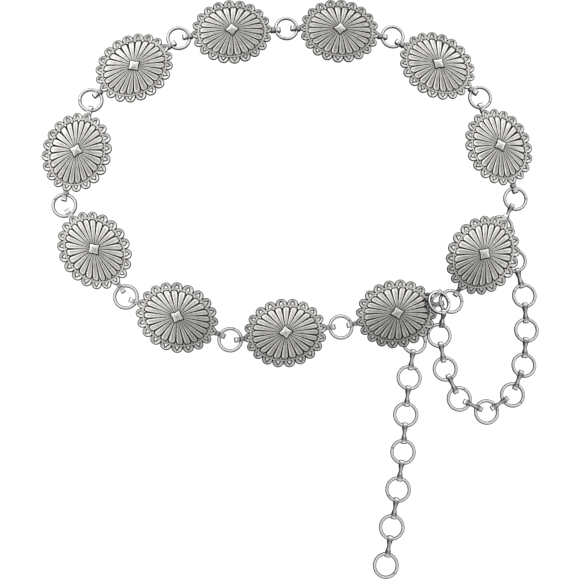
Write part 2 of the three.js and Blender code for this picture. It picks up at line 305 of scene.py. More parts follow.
# %% The two materials
def silver_material(name, polished, dark, roughness, stain, clouding):
    material = bpy.data.materials.new(name)
    material.use_nodes = True
    tree = material.node_tree
    shader = tree.nodes["Principled BSDF"]
    level = patina_and_shade_level(tree, stain)
    colour = silver_colour(tree, level, polished, dark, clouding)
    tree.links.new(colour, shader.inputs["Base Color"])
    shader.inputs["Metallic"].default_value = 1.0
    shader.inputs["Specular Tint"].default_value = (0.5, 0.5, 0.5, 1)
    silver_surface(tree, shader, level, roughness)
    return material


cast_silver = silver_material(
    "cast_silver",
    polished=(0.79, 0.78, 0.76),
    dark=(0.02, 0.019, 0.018),
    roughness=0.12,
    stain=0.03,
    clouding=0.5,
)
wire_silver = silver_material(
    "wire_silver",
    polished=(0.9, 0.89, 0.88),
    dark=(0.03, 0.03, 0.03),
    roughness=0.12,
    stain=0.0,
    clouding=0.15,
)
print("nodes in a silver:", len(cast_silver.node_tree.nodes))

# %% [markdown]
# ## One petal
# A petal is a long drop: a ball at the outer end that runs into a narrow root beside the star.
# It could be lofted from sections, but a sphere has both round ends already. Its lengthwise rows
# are lifted until its sides are steep and its crest is a shallow channel. Then one half is
# pulled away and shrunk, and the long faces between are cut, so that the petal can bend over the
# dome later. What would lie inside the button is cut away.

# %% Petal
PETALS = 24
PETAL_TIP = 2.06
PETAL_OUT = 20.2
PETAL_ROOT = 3.7
PETAL_NARROW = 0.2
PETAL_HEIGHT = 0.9
PETAL_BOTTOM = -0.15
PETAL_MIDDLE = PETAL_OUT - PETAL_TIP
PETAL_LENGTH = PETAL_MIDDLE - PETAL_ROOT
PETAL_ROWS = (  # how far down from the crest, in degrees, and how much higher it gets
    {"angle": 0, "height": 0.82},
    {"angle": 15, "height": 0.9},
    {"angle": 30, "height": 1.06},
    {"angle": 45, "height": 1.1},
    {"angle": 60, "height": 1.1},
    {"angle": 75, "height": 1.2},
)


def off_crest(co):
    return math.degrees(math.atan2(abs(co.y), co.z))


def lift_rows(petal):
    for row in PETAL_ROWS:
        choose(petal, lambda co: abs(off_crest(co) - row["angle"]) < 1 and co.yz.length > 0.01)
        bpy.ops.transform.resize(value=(1, 1, row["height"]), center_override=(0, 0, 0))
        done()


def stretch(petal):
    """Pulls the sphere's inner half to the root, shrinks it, and cuts the long faces between."""
    choose(petal, lambda co: co.x < -0.01)
    bpy.ops.transform.translate(value=(-PETAL_LENGTH, 0, 0))
    root = (-PETAL_LENGTH, 0, 0)
    bpy.ops.transform.resize(value=(PETAL_NARROW,) * 3, center_override=root)
    done()
    choose_edges(petal, lambda a, b: abs(a.x - b.x) > 0.5 * PETAL_LENGTH)
    bpy.ops.mesh.subdivide(number_cuts=7)
    done()


def make_petal():
    petal = new_piece(
        bpy.ops.mesh.primitive_uv_sphere_add,
        segments=24,
        ring_count=14,
        radius=PETAL_TIP,
        rotation=(0, math.pi / 2, 0),
    )
    lift_rows(petal)
    stretch(petal)
    choose(petal, everywhere)
    flatten = PETAL_HEIGHT / PETAL_TIP
    bpy.ops.transform.resize(value=(1, 1, flatten), center_override=(0, 0, 0))
    bpy.ops.transform.translate(value=(PETAL_MIDDLE, 0, 0))
    bpy.ops.mesh.bisect(plane_co=(0, 0, PETAL_BOTTOM), plane_no=(0, 0, 1), clear_inner=True)
    done()
    smooth(petal, 34)
    return petal


petal = make_petal()
print("one petal:", [round(size, 2) for size in petal.dimensions], "mm")

# %% [markdown]
# ## The petal's patina and painted shade
# The polishing wheel reaches the petal's shoulders and its outer end. The black stays low on the
# sides and reaches higher near the root, where the petals crowd. A faint line of painted shade runs
# down the channel. Height is compared with the full height at that place, since the petal narrows
# inward.

# %% Petal, painted and set round
CHANNEL_SHADE = 0.36
LESS_AT_THE_END = 0.4


def petal_patina_and_shade(co):
    out = min(1, max(0, (co.x - PETAL_ROOT) / PETAL_LENGTH))
    size = PETAL_NARROW + (1 - PETAL_NARROW) * out
    rise = co.z / (PETAL_HEIGHT * size)
    aside = abs(co.y) / (PETAL_TIP * size)
    side = 1 - step(0.15 + 0.3 * (1 - out), 0.42 + 0.6 * (1 - out), rise)
    at_end = step(PETAL_OUT - 0.9, PETAL_OUT - 0.2, co.x)
    # Painted shade down the middle of the crest.
    channel_shade = CHANNEL_SHADE * (1 - step(0.1, 0.5, aside))
    return max(channel_shade, side * (1 - LESS_AT_THE_END * at_end))


paint(petal, petal_patina_and_shade)
petals = [copy_of(petal, turn(360 / PETALS * (i + 0.5))) for i in range(PETALS)]
delete([petal])
print("petals:", len(petals), "of", len(petals[0].data.polygons), "faces")

# %% [markdown]
# ## The star
# A low four-pointed star with hollow sides stands in the middle. A curve could draw its outline,
# but a circle of sixteen points has one for each tip already: the points between the tips are
# drawn in, and the outline is filled, pushed up, and gathered to a soft peak. A larger and lower
# star under it, all black, makes the dark line round it.

# %% Star
STAR_LONG = 3.9
STAR_WIDE = 4.7
STAR_HEIGHT = 0.75
STAR_PEAK = 0.4
STAR_HOLLOW = 0.6
STAR_SIDE = 0.71
LINE_WIDER = 1.1
LINE_HEIGHT = 0.32


def off_tip(co):
    """How far round from the nearest tip a point is, in degrees, up to 45."""
    return abs((math.degrees(math.atan2(co.y, co.x)) + 45) % 90 - 45)


def make_star(wider, height, peak, rule):
    star = new_piece(bpy.ops.mesh.primitive_circle_add, vertices=16, radius=1, fill_type="NGON")
    choose(star, lambda co: off_tip(co) > 40)
    bpy.ops.transform.resize(value=(STAR_HOLLOW, STAR_HOLLOW, 1), center_override=(0, 0, 0))
    done()
    choose(star, lambda co: 15 < off_tip(co) < 30 and co.length > 0.9)
    bpy.ops.transform.resize(value=(STAR_SIDE, STAR_SIDE, 1), center_override=(0, 0, 0))
    bpy.ops.mesh.select_mode(type="FACE")
    bpy.ops.mesh.select_all(action="SELECT")
    size = (STAR_LONG + wider, STAR_WIDE + wider, 1)
    bpy.ops.transform.resize(value=size, center_override=(0, 0, 0))
    bpy.ops.mesh.extrude_region_move(TRANSFORM_OT_translate={"value": (0, 0, height)})
    bpy.ops.mesh.inset(thickness=0.3)
    bpy.ops.transform.translate(value=(0, 0, 0.3 * peak))
    bpy.ops.mesh.poke(offset=0.7 * peak)
    done()
    smooth(star, 25)
    paint(star, rule)
    return star


star_line = make_star(LINE_WIDER, LINE_HEIGHT, 0.02, lambda co: 1.0)
star = make_star(0, STAR_HEIGHT, STAR_PEAK, lambda co: 1 - step(0.5, 0.8, co.z / STAR_HEIGHT))
print("star:", [round(size, 1) for size in star.dimensions], "mm")

# %% [markdown]
# ## Small triangles
# Between the rounded ends of two petals a small triangle is left standing. Its flat top is
# polished, and the gap round it is dark. A cone with three sides would do, but a filled circle
# of three points, extruded and pressed narrower, keeps the flat top.

# %% Triangles
TRIANGLE_SIZE = 0.95
TRIANGLE_HEIGHT = 0.45
TRIANGLE_TOP = 0.8
TRIANGLE_OUT = 19.65


def make_triangle():
    triangle = new_piece(
        bpy.ops.mesh.primitive_circle_add,
        vertices=3,
        radius=TRIANGLE_SIZE,
        fill_type="NGON",
        rotation=(0, 0, math.pi / 2),
    )
    choose(triangle, everywhere, "FACE")
    bpy.ops.mesh.extrude_region_move(TRANSFORM_OT_translate={"value": (0, 0, TRIANGLE_HEIGHT)})
    bpy.ops.transform.resize(value=(TRIANGLE_TOP, TRIANGLE_TOP, 1), center_override=(0, 0, 0))
    bpy.ops.mesh.select_all(action="SELECT")
    bpy.ops.transform.translate(value=(TRIANGLE_OUT, 0, 0))
    done()
    smooth(triangle, 20)
    paint(triangle, lambda co: 1 - step(0.2, TRIANGLE_HEIGHT, co.z))
    return triangle


triangle = make_triangle()
triangles = [copy_of(triangle, turn(360 / PETALS * i)) for i in range(PETALS)]
delete([triangle])
print("triangles:", len(triangles))

# %% [markdown]
# ## The blank
# The disc under the petals is the floor of the relief. A flat disc would do for the floor, but
# the doming needs rings of vertices to bend. So a circle is taken inward ring by ring: first a
# polished land that shows between the petals' ends, then the dark floor. It gets the thickness
# of a casting, so that the back is hollow once it is domed.

# %% Blank
BLANK_RADIUS = 20.8
LAND_HEIGHT = 0.35
SHELL_THICKNESS = 1.1
BLANK_RINGS = (
    {"radius": 20.3, "drop": 0},
    {"radius": 20.2, "drop": LAND_HEIGHT},
    {"radius": 15, "drop": 0},
    {"radius": 11, "drop": 0},
    {"radius": 7, "drop": 0},
    {"radius": 3, "drop": 0},
)


def make_blank():
    blank = new_piece(
        bpy.ops.mesh.primitive_circle_add,
        vertices=96,
        radius=BLANK_RADIUS,
        location=(0, 0, LAND_HEIGHT),
    )
    choose(blank, everywhere, "EDGE")
    last = BLANK_RADIUS
    for row in BLANK_RINGS:
        bpy.ops.mesh.extrude_region_move(TRANSFORM_OT_translate={"value": (0, 0, -row["drop"])})
        shrink = row["radius"] / last
        bpy.ops.transform.resize(value=(shrink, shrink, 1), center_override=(0, 0, 0))
        last = row["radius"]
    bpy.ops.mesh.edge_face_add()
    bpy.ops.mesh.select_mode(type="FACE")
    bpy.ops.mesh.poke()
    done()
    face_up(blank)
    modify(blank, "SOLIDIFY", thickness=SHELL_THICKNESS, offset=-1)
    smooth(blank, 30)
    return blank


def blank_patina(co):
    back = co.z < -0.5 * SHELL_THICKNESS
    return 0.35 if back else 1 - 0.85 * step(0.1, LAND_HEIGHT - 0.02, co.z)


blank = make_blank()
paint(blank, blank_patina)
print("blank:", len(blank.data.polygons), "faces")

# %% [markdown]
# ## Doming
# The relief is joined and pushed up at its middle in one proportional move, as a press domes a
# flat casting, and then it is squeezed from round to oval. The petals could be modelled on the
# dome one by one, but this way every petal bends with it and keeps its height.

# %% Dome
FLOOR_HEIGHT = 5.3
DOME_RISE = 3.1
DOME_REACH = BLANK_RADIUS + 0.3
OVAL = 0.787


def make_dome():
    dome = join([blank, star_line, star, *triangles, *petals], "dome")
    choose(dome, lambda co: math.hypot(co.x, co.y) < 0.01 and co.z < 0.1)
    bpy.ops.transform.translate(
        value=(0, 0, DOME_RISE),
        use_proportional_edit=True,
        proportional_edit_falloff="INVERSE_SQUARE",
        proportional_size=DOME_REACH,
    )
    bpy.ops.mesh.select_all(action="SELECT")
    bpy.ops.transform.resize(value=(1, OVAL, 1), center_override=(0, 0, 0))
    bpy.ops.transform.translate(value=(0, 0, FLOOR_HEIGHT))
    done()
    return dome


dome = make_dome()
print("dome:", [round(size, 1) for size in dome.dimensions], len(dome.data.polygons), "faces")

# %% [markdown]
# ## The scalloped flange
# Twenty small discs stand round the dome. Each is a coin with a rounded rim and a dished middle,
# and a stamped triangle in it, whose point looks outward. A boolean could cut the scallops from
# one plate, but whole coins have clean rims and can be set round the oval like real stamps.

# %% Coin
SCALLOPS = 20
SCALLOP = 3.2
FLANGE_BOTTOM = 4.65
SCALLOP_TOP = 5.5
COIN_SIDE_TOP = SCALLOP_TOP - 0.45
DISH_FLOOR, DISH_LIP, DISH_RADIUS = 5.36, 5.45, 2.4
DISH_BLACK = 0.25
COIN_STEPS = (  # how far in, and how far up or down
    (0.2, 0.24),
    (0.25, 0.16),
    (0.15, 0.05),
    (0.2, 0),
    (0.15, -0.14),
)


def make_coin():
    coin = new_piece(
        bpy.ops.mesh.primitive_cylinder_add,
        vertices=28,
        radius=SCALLOP,
        depth=COIN_SIDE_TOP - FLANGE_BOTTOM,
        location=(0, 0, 0.5 * (COIN_SIDE_TOP + FLANGE_BOTTOM)),
    )
    choose(coin, lambda co: co.z > COIN_SIDE_TOP - 0.01, "FACE")
    for thickness, lift in COIN_STEPS:
        bpy.ops.mesh.inset(thickness=thickness)
        bpy.ops.transform.translate(value=(0, 0, lift))
    done()
    smooth(coin, 50)
    return coin


def coin_patina(co):
    """Black on the outer side, and a little in the dish."""
    out = math.hypot(co.x, co.y)
    dish = DISH_BLACK * (1 - step(DISH_FLOOR, DISH_LIP, co.z)) * (out < DISH_RADIUS)
    return step(SCALLOP - 0.7, SCALLOP - 0.38, out) + dish


coin = make_coin()
paint(coin, coin_patina)
print("coin:", [round(size, 2) for size in coin.dimensions], "mm")

# %% [markdown]
# ## The stamped triangle
# A punch leaves a triangle with a black border and a bright middle. It could be bump or a painted
# mark, but in the light from the side only real faces show its edge. Three pushes of one
# triangular face make its border, its rise and its blunt top.

# %% Stamp
STAMP_RADIUS = 2.3
STAMP_BOTTOM = 5.39
STAMP_STEPS = ((0.58, 0.02), (0.88, 0.14), (0.1, 0.25))  # how much smaller, and how far up
STAMP_BLACK_TO, STAMP_BRIGHT_FROM = 5.42, 5.54


def make_stamp():
    stamp = new_piece(
        bpy.ops.mesh.primitive_circle_add,
        vertices=3,
        radius=STAMP_RADIUS,
        fill_type="NGON",
        location=(0, 0, STAMP_BOTTOM),
        rotation=(0, 0, -math.pi / 2),
    )
    choose(stamp, everywhere, "FACE")
    for shrink, lift in STAMP_STEPS:
        bpy.ops.mesh.extrude_region_move(TRANSFORM_OT_translate={"value": (0, 0, lift)})
        bpy.ops.transform.resize(value=(shrink, shrink, 1), center_override=(0, 0, 0))
    done()
    smooth(stamp, 20)
    paint(stamp, lambda co: 1 - step(STAMP_BLACK_TO, STAMP_BRIGHT_FROM, co.z))
    return stamp


stamp = make_stamp()
print("stamp:", len(stamp.data.polygons), "faces")

# %% [markdown]
# ## Setting the scallops round the oval
# Equal steps round an oval leave the coins closer together at its ends. Each coin is therefore
# made as wide as its own share of the edge, turned to face straight out, and tipped outward a
# little. An array modifier would keep them all alike, so a loop places them.

# %% Ring of scallops
CENTRES = (21.85, 17.55)
COIN_OVERLAP = 1.02
COIN_TILT = 3
TILT_HEIGHT = 5


def ring_of_coins(coin, stamp):
    up, down = Matrix.Translation((0, 0, TILT_HEIGHT)), Matrix.Translation((0, 0, -TILT_HEIGHT))
    tip = up @ turn(COIN_TILT, "Y") @ down
    coins = []
    for i in range(SCALLOPS):
        around = math.tau * i / SCALLOPS
        cos, sin = math.cos(around), math.sin(around)
        centre = Vector((CENTRES[0] * cos, CENTRES[1] * sin, 0))
        outward = math.degrees(math.atan2(sin / CENTRES[1], cos / CENTRES[0]))
        share = math.hypot(CENTRES[0] * sin, CENTRES[1] * cos) * math.tau / SCALLOPS
        size = Matrix.Diagonal((1, COIN_OVERLAP * 0.5 * share / SCALLOP, 1, 1))
        place = Matrix.Translation(centre) @ turn(outward) @ tip @ size
        coins += [copy_of(coin, place), copy_of(stamp, place)]
    return coins


coins = ring_of_coins(coin, stamp)
delete([coin, stamp])
print("scallops:", len(coins) // 2)

# %% [markdown]
# ## The ring under the scallops and the bead
# A flat oval ring ties the scallops together and shows black in the gaps. A thin bead runs round
# the foot of the dome. A curve with a bevel could make both. A circle and a torus, squeezed to
# the oval, are meshes from the start and need no conversion.

# %% Flange ring and bead
BAND_HALVES = (22.6, 18.3)
BAND_INNER = (0.915, 0.9)
BAND_HEIGHT = 5.2
BAND_RISE = 0.12
BAND_THICKNESS = 0.55
BEAD_RADIUS = 21.0
BEAD_WIRE = 0.36
BEAD_HEIGHT = 5.7


def make_flange_ring():
    place = (0, 0, BAND_HEIGHT)
    band = new_piece(bpy.ops.mesh.primitive_circle_add, vertices=96, radius=1, location=place)
    choose(band, everywhere, "EDGE")
    bpy.ops.transform.resize(value=(*BAND_HALVES, 1), center_override=(0, 0, 0))
    bpy.ops.mesh.extrude_region_move(TRANSFORM_OT_translate={"value": (0, 0, BAND_RISE)})
    bpy.ops.transform.resize(value=(*BAND_INNER, 1), center_override=(0, 0, 0))
    done()
    face_up(band)
    modify(band, "SOLIDIFY", thickness=BAND_THICKNESS, offset=-1)
    smooth(band, 30)
    paint(band, lambda co: 0.95)
    return band


def make_bead():
    bead = new_piece(
        bpy.ops.mesh.primitive_torus_add,
        major_radius=BEAD_RADIUS,
        minor_radius=BEAD_WIRE,
        major_segments=96,
        minor_segments=10,
        location=(0, 0, BEAD_HEIGHT),
    )
    choose(bead, everywhere)
    bpy.ops.transform.resize(value=(1, OVAL, 1), center_override=(0, 0, 0))
    done()
    smooth(bead, 60)
    paint(bead, lambda co: 0.7 * (1 - step(5.5, 5.9, co.z)))
    return bead


button = join([dome, make_flange_ring(), make_bead(), *coins], "button")
wear(button, cast_silver)
print("button:", len(button.data.polygons), "faces")

# %% [markdown]
# ## Strap loops
# The bails under the conchos and the links of the chain are bent from flat strap. A strap could
# follow a curve, but a short open tube is already a closed strap: it is stretched to an oblong,
# given the strap's thickness, and its edges are eased. The cuts across it let it be pinched later.

# %% Oblong strap loop
LOOP_SIDES = 28
HALF_SIDE = math.pi / LOOP_SIDES


def strap_loop(radius, reach, width, thickness, cuts):
    """An oblong loop about y, its two round ends centred at x = 0 and x = reach."""
    loop = new_piece(
        bpy.ops.mesh.primitive_cylinder_add,
        vertices=LOOP_SIDES,
        radius=radius,
        depth=width,
        end_fill_type="NOTHING",
        rotation=(math.pi / 2, 0, 0),
    )
    choose(loop, everywhere)
    bpy.ops.transform.rotate(value=HALF_SIDE, orient_axis="Y", center_override=(0, 0, 0))
    done()
    choose(loop, lambda co: co.x > 0)
    bpy.ops.transform.translate(value=(reach, 0, 0))
    done()
    choose_edges(loop, lambda a, b: abs(a.x - b.x) > 0.7 * reach)
    bpy.ops.mesh.subdivide(number_cuts=cuts)
    done()
    choose_edges(loop, lambda a, b: abs(a.y - b.y) > 0.7 * width)
    bpy.ops.mesh.subdivide(number_cuts=3)
    done()
    modify(loop, "SOLIDIFY", thickness=thickness, offset=-1)
    eased = {"width": 0.4 * thickness, "segments": 3}
    modify(loop, "BEVEL", limit_method="ANGLE", angle_limit=math.radians(50), **eased)
    return loop


def pinch(loop, value, centre, near, reach):
    """Draws the loop in round one place, fading out over the reach."""
    choose(loop, lambda co: abs(co.x - centre[0]) < near)
    bpy.ops.transform.resize(
        value=value,
        center_override=centre,
        use_proportional_edit=True,
        proportional_edit_falloff="SMOOTH",
        proportional_size=reach,
    )
    done()


# %% [markdown]
# ## The bail
# Each bail is a strap loop, narrowed where it leaves the scallop, with a tongue that is soldered
# under the flange. Over a light patina, painted shade darkens its edges and its waist, and its end,
# where the ring rubs, is bright. It could be one bent strip, but a loop and a box meet unseen under
# the flange.

# %% Bail
BELT_Z = 1.95
BAIL_WIDTH = 3.0
BAIL_STRAP = 0.65
BAIL_BACK = 24.2
BAIL_REACH = 28.9
BAIL_WAIST = 26.6
BAIL_FIRST = BAIL_BACK + BELT_Z
TONGUE_START = 21.3
TONGUE_END = BAIL_FIRST + 0.6
TONGUE_HEIGHT = 0.8


# Painted shade on the strap's edges and in its waist, over a light patina; the end is bright from
# wear.
def bail_patina_and_shade(co):
    at_waist = 1 - step(0.4, 1.6, abs(co.x - BAIL_WAIST))
    at_edge = step(0.6, 1.1, abs(co.y) / (0.5 * BAIL_WIDTH - 0.4 * at_waist))
    rubbed = step(27.2, 28.4, co.x)
    return min(1, 0.3 + 0.4 * at_waist + 0.6 * at_edge - 0.3 * rubbed)


def make_bail():
    loop = strap_loop(BELT_Z, BAIL_REACH - BAIL_FIRST, BAIL_WIDTH, BAIL_STRAP, cuts=5)
    loop.data.transform(Matrix.Translation((BAIL_FIRST, 0, BELT_Z)))
    pinch(loop, (1, 0.74, 1), (BAIL_WAIST, 0, BELT_Z), near=0.5, reach=2.4)
    smooth(loop, 40)
    paint(loop, bail_patina_and_shade)
    tongue = new_piece(
        bpy.ops.mesh.primitive_cube_add,
        size=1,
        scale=(TONGUE_END - TONGUE_START, BAIL_WIDTH, TONGUE_HEIGHT),
        location=(0.5 * (TONGUE_END + TONGUE_START), 0, 2 * BELT_Z + 0.36),
    )
    modify(tongue, "BEVEL", width=0.15, segments=2)
    smooth(tongue, 40)
    paint(tongue, lambda co: 0.4)
    bail = join([loop, tongue], "bail")
    wear(bail, wire_silver)
    return bail


bail = make_bail()
print("bail:", len(bail.data.polygons), "faces")

# %% [markdown]
# ## The staple
# The concho at the hook end has a staple in place of its second bail, and the hook hangs in it.
# It could be bent from one wire, but it is hidden, so three plain bars with eased edges are enough.

# %% Staple
STAPLE_BAR = 1.6
STAPLE_PLACE = (21, 2)
STAPLE_HALF = 2.1


def make_bar(scale, place):
    bar = new_piece(bpy.ops.mesh.primitive_cube_add, size=1, scale=scale, location=place)
    modify(bar, "BEVEL", width=0.2, segments=2)
    smooth(bar, 40)
    paint(bar, lambda co: 0.5)
    return bar


def make_staple():
    x, y = STAPLE_PLACE
    bars = [make_bar((STAPLE_BAR, 5.2, STAPLE_BAR), (x, y, BELT_Z))]
    for side in (-1, 1):
        place = (x, y + side * STAPLE_HALF, BELT_Z + 1.4)
        bars.append(make_bar((STAPLE_BAR, 1.0, 2.9), place))
    staple = join(bars, "staple")
    wear(staple, wire_silver)
    return staple


staple = make_staple()
print("staple:", len(staple.data.polygons), "faces")

# %% [markdown]
# ## Where the conchos lie
# The star's tip is the highest point of each CAD concho, so it marks the middle, and the bail's
# end is its farthest point, so it marks the heading. The places could be written down, but
# measured ones can't drift from the CAD.

# %% Places of the conchos
def place_of(node):
    """The middle of a CAD concho and its heading, away from its farthest bail, from its mesh."""
    points = [vertex.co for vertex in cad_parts[node].data.vertices]
    middle = max(points, key=lambda co: co.z).xy
    reach = max((co.xy - middle).length for co in points)
    first = max(points, key=lambda co: (co.xy - middle).length).xy - middle
    far = [co.xy - middle for co in points if (co.xy - middle).length > reach - 0.02 * MM]
    towards = sum((spoke for spoke in far if spoke.dot(first) > 0), Vector((0, 0)))
    return middle, math.degrees(math.atan2(-towards.y, -towards.x))


concho_names = sorted(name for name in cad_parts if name.startswith("concho_"))
places = {name: place_of(name) for name in concho_names}
print("headings:", [round(heading) for _, heading in places.values()])

# %% [markdown]
# ## Patches of painted shade
# Painted shade darkens the lower edges of concho_01 to concho_04, where they reflect the dark side
# of the room, and more black is added on the top two conchos. One noise over the whole belt would
# put it anywhere, so each patch has a place, a reach and an amount, and fades out from its middle.

# %% Patches
SHADE_PATCHES = (
    {"place": (0.055, -0.055), "reach": 0.06, "shade": 0.42},
    {"place": (0.102, -0.006), "reach": 0.032, "shade": 0.35},
    {"place": (0.0, -0.08), "reach": 0.065, "shade": 0.3},
    {"place": (-0.045, -0.045), "reach": 0.045, "shade": 0.3},
    {"place": (0.01, 0.16), "reach": 0.1, "shade": 0.16},
)


# Painted shade, added to the conchos' patina under each patch.
def painted_shade_at(co):
    shade = 0
    for patch in SHADE_PATCHES:
        off = math.dist(co.xy, patch["place"])
        shade += patch["shade"] * (1 - step(0.2 * patch["reach"], patch["reach"], off))
    return shade


print("black at the loop's foot:", round(painted_shade_at(Vector((0, -0.08, 0))), 2))

# %% [markdown]
# ## The eleven conchos
# All are casts of one mould, so each is a copy of the button with its two bails. The one at the
# hook end is a little larger, and has the staple in place of a bail. They could share one mesh,
# but each has its own, because a finished piece's object has to stay at the origin.

# %% Conchos
HOOK_CONCHO = "concho_01"
HOOK_SCALE = 1.045


def set_concho(node):
    middle, heading = places[node]
    place = Matrix.Translation((*middle, 0)) @ turn(heading) @ Matrix.Scale(MM, 4)
    scale = HOOK_SCALE if node == HOOK_CONCHO else 1
    end = copy_of(staple, place) if node == HOOK_CONCHO else copy_of(bail, place)
    body = copy_of(button, place @ Matrix.Diagonal((scale, scale, 1, 1)))
    piece = join([body, copy_of(bail, place @ turn(180)), end], node + "_cast")
    # The patches' painted shade is added to the patina here.
    for value, vertex in zip(piece.data.attributes["patina_and_shade"].data, piece.data.vertices):
        value.value = min(1, value.value + painted_shade_at(vertex.co))
    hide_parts(node)
    return piece


conchos = [set_concho(name) for name in concho_names]
delete([button, bail, staple])
print("conchos:", len(conchos))

# %% [markdown]
# ## The rings
# A ring is bent from round wire and soldered shut, which leaves a faint dark line across it. A
# curve with a round bevel could be the wire, but a torus is the same shape in one step. Its top is
# bright, and painted shade on its sides draws the dark reflection along both edges.

# %% Rings of the belt
RING_RADIUS = 6.7
WIRE_RADIUS = 1.0
SEAM_ANGLE = 0.03
SEAM_TURN = 37


# The seam is a dark joint; the black on the wire's sides is painted shade.
def ring_patina_and_shade(co):
    seam = abs(math.atan2(co.y, co.x)) < SEAM_ANGLE
    return 0.9 if seam else 1 - step(0.74, 1.0, abs(co.z) / WIRE_RADIUS)


def make_ring():
    ring = new_piece(
        bpy.ops.mesh.primitive_torus_add,
        major_radius=RING_RADIUS,
        minor_radius=WIRE_RADIUS,
        major_segments=64,
        minor_segments=20,
    )
    only(ring)
    bpy.ops.object.shade_smooth()
    paint(ring, ring_patina_and_shade)
    wear(ring, wire_silver)
    return ring


def middle_of(node):
    low, high = (Vector(corner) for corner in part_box(node))
    return 0.5 * (low + high)


ring = make_ring()
belt_rings = []
for name in sorted(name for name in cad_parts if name.startswith("belt_ring_")):
    seam = turn(SEAM_TURN * len(belt_rings))
    piece = copy_of(ring, Matrix.Translation(middle_of(name)) @ seam @ Matrix.Scale(MM, 4))
    piece.name = name + "_wire"
    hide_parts(name)
    belt_rings.append(piece)
print("belt rings:", len(belt_rings))

# %% [markdown]
# ## Where the chain lies
# The chain runs down behind the hook end, round a bend and up, and ends draped over the strip's
# first ring, from where its tail hangs straight down. A physics run could drape it, but its
# rings are in plain sight in the photograph, so they lie where the CAD has them. The places are
# in millimetres on the CAD's layout, which is found again from belt_ring_01.

# %% Chain layout
FIRST_RING = (98.3, -6.3)
CHAIN_Z = 1.65
SWAG = [
    {"x": 140.3, "y": 58.4, "z": BELT_Z},
    {"x": 130.9, "y": 40.4, "z": BELT_Z},
    {"x": 138.7, "y": 19.4, "z": CHAIN_Z},
    {"x": 144.1, "y": -2.3, "z": CHAIN_Z},
    {"x": 144.7, "y": -23.6, "z": CHAIN_Z},
    {"x": 142.4, "y": -45.0, "z": CHAIN_Z},
    {"x": 134.8, "y": -63.0, "z": CHAIN_Z},
    {"x": 118.6, "y": -73.3, "z": CHAIN_Z},
    {"x": 102.1, "y": -65.5, "z": CHAIN_Z},
    {"x": 93.9, "y": -47.5, "z": CHAIN_Z},
    {"x": 90.6, "y": -27.2, "z": CHAIN_Z},
]
DRAPED = {"x": 89.8, "y": -7.6, "z": 6.6, "tilt": 17, "pitch": -13}
TUCKED = {"x": 78.1, "y": -8.5, "z": 1.9, "tilt": 0, "pitch": -3}
TAIL = [
    {"x": 75.3, "y": -31.3, "z": BELT_Z},
    {"x": 71.8, "y": -52.9, "z": CHAIN_Z},
    {"x": 69.4, "y": -75.0, "z": CHAIN_Z},
    {"x": 67.4, "y": -97.1, "z": CHAIN_Z},
    {"x": 64.1, "y": -119.1, "z": CHAIN_Z},
    {"x": 60.0, "y": -141.0, "z": CHAIN_Z},
    {"x": 56.2, "y": -162.9, "z": CHAIN_Z},
]
layout_origin = middle_of("belt_ring_01") - Vector((*FIRST_RING, BELT_Z)) * MM
layout = Matrix.Translation(layout_origin) @ Matrix.Scale(MM, 4)


def frame_of(place):
    pitch, tilt = (math.radians(place.get(name, 0)) for name in ("pitch", "tilt"))
    lean = Euler((pitch, tilt, 0), "XYZ").to_matrix().to_4x4()
    return Matrix.Translation((place["x"], place["y"], place["z"])) @ lean


def wire_point(place, heading):
    """The point on a ring's wire that lies in a direction from its middle."""
    return frame_of(place) @ (turn(heading) @ Vector((RING_RADIUS, 0, 0)))


print("layout origin, mm:", [round(value / MM, 3) for value in layout_origin])

# %% [markdown]
# ## One link
# A link is a strap folded round two rings, with its two sides pressed together at the waist. It
# could be two bent strips, but the loop that made the bail, pinched in its middle, has both sides
# at once. Painted shade darkens its edges, its waist and its necks, where the strap opens round the
# wire.

# %% Link
LINK_RADIUS = 1.6
LINK_STRAP = 0.52
LINK_LENGTH = 12.9
LINK_WIDTH = 3.0
NARROW_LINK_WIDTH = 2.4
LINK_WAIST = 3.6
LINK_RUN = LINK_LENGTH - 2 * LINK_RADIUS


# Painted shade: dark lines along the edges, and shadow in the waist and at the necks.
def painted_link_shade(co, width):
    along = abs(co.x)
    waist = 1 - step(1.2, 4.2, along)
    neck = step(2.2, 3.2, along) * (1 - step(3.9, 4.7, along))
    edge = step(0.35, 0.8, abs(co.y) / (0.5 * width * (1 - 0.4 * waist)))
    return min(1, 0.15 * waist + 0.55 * neck + (0.5 + 0.5 * waist) * edge)


def make_link(width):
    link = strap_loop(LINK_RADIUS, LINK_RUN, width, LINK_STRAP, cuts=9)
    link.data.transform(Matrix.Translation((-0.5 * LINK_RUN, 0, 0)))
    pinch(link, (1, 0.6, 0.68), (0, 0, 0), near=0.1, reach=LINK_WAIST)
    smooth(link, 40)
    paint(link, lambda co: painted_link_shade(co, width))
    wear(link, wire_silver)
    return link


link, narrow_link = make_link(LINK_WIDTH), make_link(NARROW_LINK_WIDTH)
print("link:", [round(size, 1) for size in link.dimensions], "mm")

# %% [markdown]
# ## Laying the links
# Each link runs from one ring's wire to the next one's. It is a little longer than the way
# between them, and this slack is shared between its ends. It could be an instance on a curve,
# but then it would cut the corners at the bends.

# %% Laying the links
SEAM_TURN_IN_CHAIN = 53


def lay_link(pattern, a, b, share_at_b=0.5):
    run = b - a
    slack = LINK_RUN - run.length
    middle = a + run.normalized() * (0.5 * run.length + slack * (share_at_b - 0.5))
    heading = math.degrees(math.atan2(run.y, run.x))
    dip = math.degrees(math.asin(run.z / run.length))
    place = Matrix.Translation(middle) @ turn(heading) @ turn(-dip, "Y")
    return copy_of(pattern, layout @ place)


def heading_between(one, other):
    return math.degrees(math.atan2(other["y"] - one["y"], other["x"] - one["x"]))


